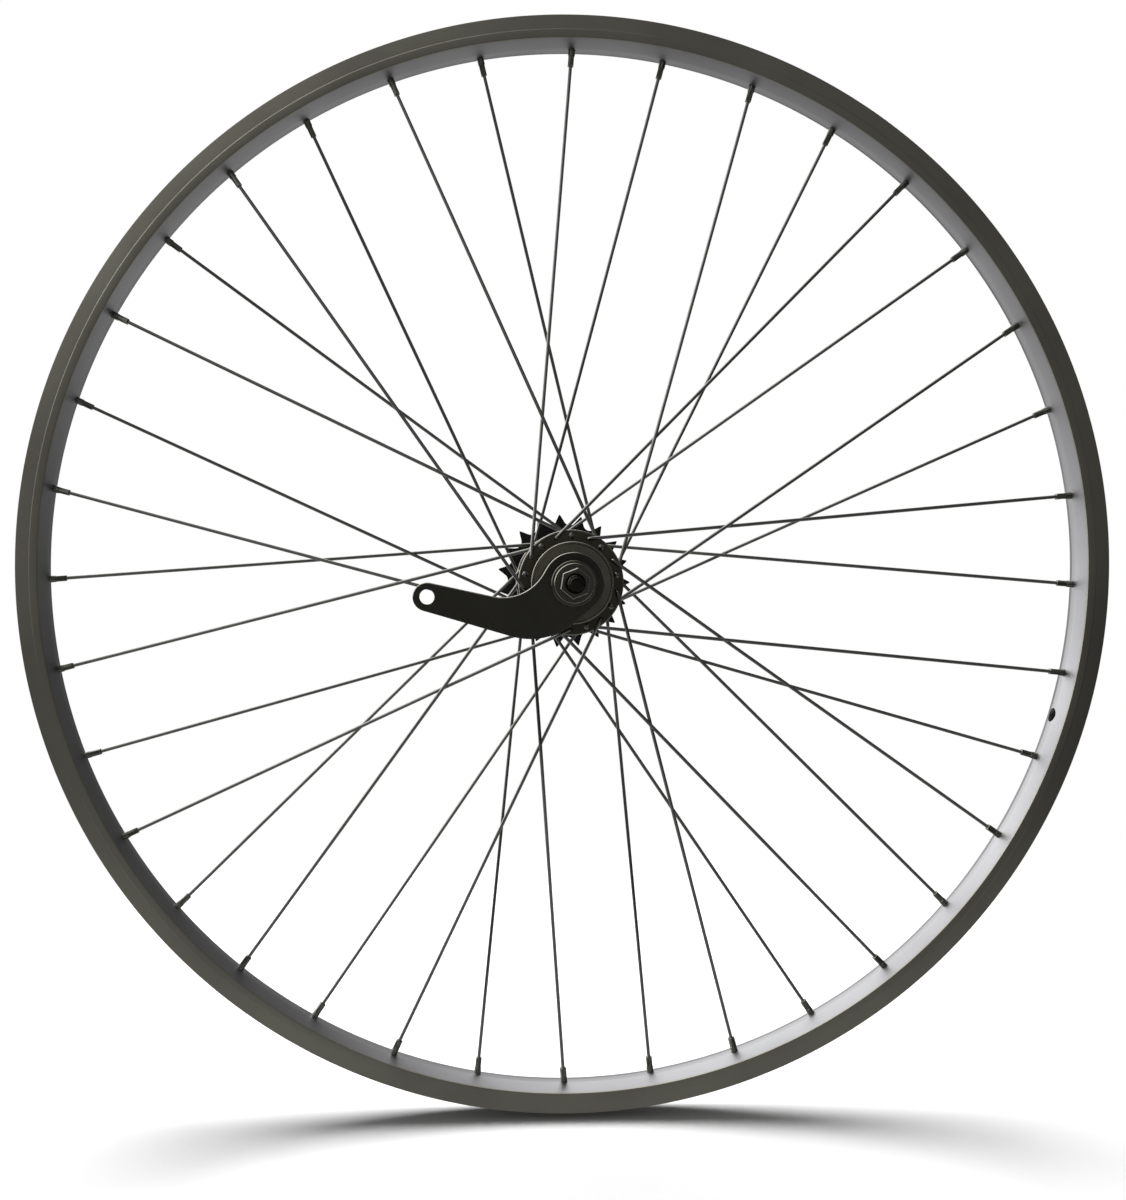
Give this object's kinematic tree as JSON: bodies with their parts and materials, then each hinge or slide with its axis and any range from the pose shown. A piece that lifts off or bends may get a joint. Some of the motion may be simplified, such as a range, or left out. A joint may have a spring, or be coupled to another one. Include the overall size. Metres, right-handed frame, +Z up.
{
  "type": "bicycle wheel",
  "caption": "Spoked bicycle rear wheel with a coaster brake hub, brake arm, sprocket and axle nuts, without a tyre.",
  "frame": {"origin": "centre of the wheel on the axle's axis, midway between the axle's ends", "axes": "+Y along the axle towards the sprocket, +Z up, +X towards the rear of the bicycle"},
  "size_m": [0.634, 0.164, 0.634],
  "materials": {
    "rim_alloy": "satin anodised",
    "spoke_steel": "bright drawn",
    "nipple_plate": "nickel plated",
    "hub_steel": "dull zinc plated",
    "black_steel": "black stove enamel",
    "axle_steel": "oiled steel",
    "nut_steel": "zinc plated",
    "bearing_steel": "polished",
    "shoe_bronze": "turned bronze"
  },
  "bodies": {
    "axle": {"hub_axle": "axle_steel", "arm_cone": "hub_steel", "arm_dust_cap": "hub_steel", "brake_arm": "black_steel", "arm_lock_nut": "nut_steel", "left_washer": "nut_steel", "left_axle_nut": "nut_steel", "drive_cone": "hub_steel", "drive_cone_cap": "hub_steel", "drive_lock_nut": "nut_steel", "right_washer": "nut_steel", "right_axle_nut": "nut_steel"},
    "wheel": {"rim": "rim_alloy", "nipples": "nipple_plate", "left_leading_spokes": "spoke_steel", "left_trailing_spokes": "spoke_steel", "right_leading_spokes": "spoke_steel", "right_trailing_spokes": "spoke_steel", "hub_shell": "hub_steel"},
    "drive": {"driver": "hub_steel", "sprocket": "black_steel", "snap_ring": "nut_steel", "driver_dust_cover": "hub_steel"},
    "clutch": {"clutch_cone": "hub_steel", "retarder_spring": "spoke_steel"},
    "upper_shoe": {"upper_brake_shoe": "shoe_bronze"},
    "lower_shoe": {"lower_brake_shoe": "shoe_bronze"},
    "left_bearing": {"left_balls": "bearing_steel", "left_ball_cage": "hub_steel"},
    "inner_bearing": {"inner_balls": "bearing_steel", "inner_ball_cage": "hub_steel"},
    "outer_bearing": {"outer_balls": "bearing_steel", "outer_ball_cage": "hub_steel"}
  },
  "joints": [
    {"name": "wheel_spin", "type": "hinge", "parent": "axle", "child": "wheel", "pos_m": [0, 0, 0], "axis": [0, 1, 0], "continuous": true},
    {"name": "driver_spin", "type": "hinge", "parent": "axle", "child": "drive", "pos_m": [0, 0, 0], "axis": [0, 1, 0], "continuous": true},
    {"name": "left_bearing_roll", "type": "hinge", "parent": "axle", "child": "left_bearing", "pos_m": [0, 0, 0], "axis": [0, 1, 0], "continuous": true},
    {"name": "inner_bearing_roll", "type": "hinge", "parent": "axle", "child": "inner_bearing", "pos_m": [0, 0, 0], "axis": [0, 1, 0], "continuous": true},
    {"name": "outer_bearing_roll", "type": "hinge", "parent": "axle", "child": "outer_bearing", "pos_m": [0, 0, 0], "axis": [0, 1, 0], "continuous": true},
    {"name": "clutch_slide", "type": "slide", "parent": "axle", "child": "clutch", "axis": [0, -1, 0], "range_m": [0, 0.004]},
    {"name": "upper_shoe_slide", "type": "slide", "parent": "axle", "child": "upper_shoe", "axis": [0, -0.9703, 0.2419], "range_m": [0, 0.00207]},
    {"name": "lower_shoe_slide", "type": "slide", "parent": "axle", "child": "lower_shoe", "axis": [0, -0.9703, -0.2419], "range_m": [0, 0.00207]}
  ],
  "couplings": [
    {"joint": "left_bearing_roll", "follows": "wheel_spin", "ratio": 0.566},
    {"joint": "inner_bearing_roll", "follows": "wheel_spin", "ratio": 0.566},
    {"joint": "outer_bearing_roll", "follows": "driver_spin", "ratio": 0.607},
    {"joint": "upper_shoe_slide", "follows": "clutch_slide", "ratio": 0.51531},
    {"joint": "lower_shoe_slide", "follows": "clutch_slide", "ratio": 0.51531}
  ]
}
